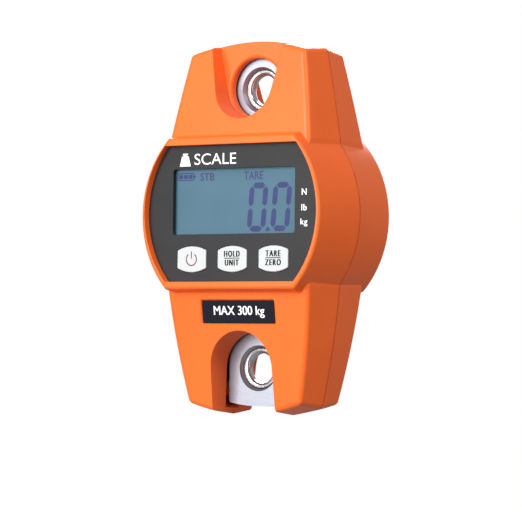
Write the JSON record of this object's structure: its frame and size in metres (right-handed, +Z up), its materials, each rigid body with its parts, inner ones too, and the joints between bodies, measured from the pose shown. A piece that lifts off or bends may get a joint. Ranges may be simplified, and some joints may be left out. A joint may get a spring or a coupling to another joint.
{
  "type": "hanging scale",
  "caption": "Compact electronic hanging scale: wedge-shaped two-part housing with a round display bulge, round a flat load cell with an eye at each end.",
  "frame": {"origin": "centre of the upper eye's bore, in the middle of the load cell's thickness", "axes": "+Z up along the load line, +X to the right seen from the display, -Y out of the display"},
  "size_m": [0.0938, 0.0528, 0.1546],
  "materials": {
    "orange_housing": "glossy moulded ABS",
    "milled_aluminium": "milled, matte",
    "polished_steel": "polished",
    "sealant": "matte",
    "zinc_steel": "zinc plated",
    "charcoal_panel": "fine satin",
    "navy_label": "satin print",
    "clear_window": "clear",
    "display_glass": "display glass",
    "white_diffuser": "translucent white",
    "black_rubber": "matte",
    "white_frame": "satin",
    "green_board": "solder mask",
    "black_resin": "satin",
    "battery_can": "printed sleeve",
    "spring_metal": "nickel plated",
    "white_key": "satin moulded"
  },
  "bodies": {
    "housing": {"front_shell": "orange_housing", "rear_shell": "orange_housing", "load_cell": "milled_aluminium", "upper_bush": "polished_steel", "lower_bush": "polished_steel", "gauge_seals": "sealant", "cell_screws": "zinc_steel", "shell_screws": "zinc_steel", "board_screws": "zinc_steel", "panel": "charcoal_panel", "capacity_label": "navy_label", "window_lens": "clear_window", "lcd_glass": "display_glass", "backlight": "white_diffuser", "lcd_connector": "black_rubber", "lcd_frame": "white_frame", "circuit_board": "green_board", "controller_chip": "black_resin", "buzzer": "black_resin", "switch_bodies": "black_resin", "batteries": "battery_can", "contact_plates": "spring_metal", "contact_springs": "spring_metal"},
    "door": {"battery_door": "orange_housing"},
    "power_button": {"power_key": "white_key", "power_plunger": "white_frame"},
    "hold_button": {"hold_key": "white_key", "hold_plunger": "white_frame"},
    "tare_button": {"tare_key": "white_key", "tare_plunger": "white_frame"}
  },
  "joints": [
    {"name": "power_press", "type": "slide", "parent": "housing", "child": "power_button", "axis": [0, 1, 0], "range_m": [0, 0.0005], "stiffness_N_per_m": 300},
    {"name": "hold_press", "type": "slide", "parent": "housing", "child": "hold_button", "axis": [0, 1, 0], "range_m": [0, 0.0005], "stiffness_N_per_m": 300},
    {"name": "tare_press", "type": "slide", "parent": "housing", "child": "tare_button", "axis": [0, 1, 0], "range_m": [0, 0.0005], "stiffness_N_per_m": 300},
    {"name": "door_hinge", "type": "hinge", "parent": "housing", "child": "door", "pos_m": [0, 0.0254, -0.0742], "axis": [-1, 0, 0], "range_deg": [0, 85]}
  ]
}
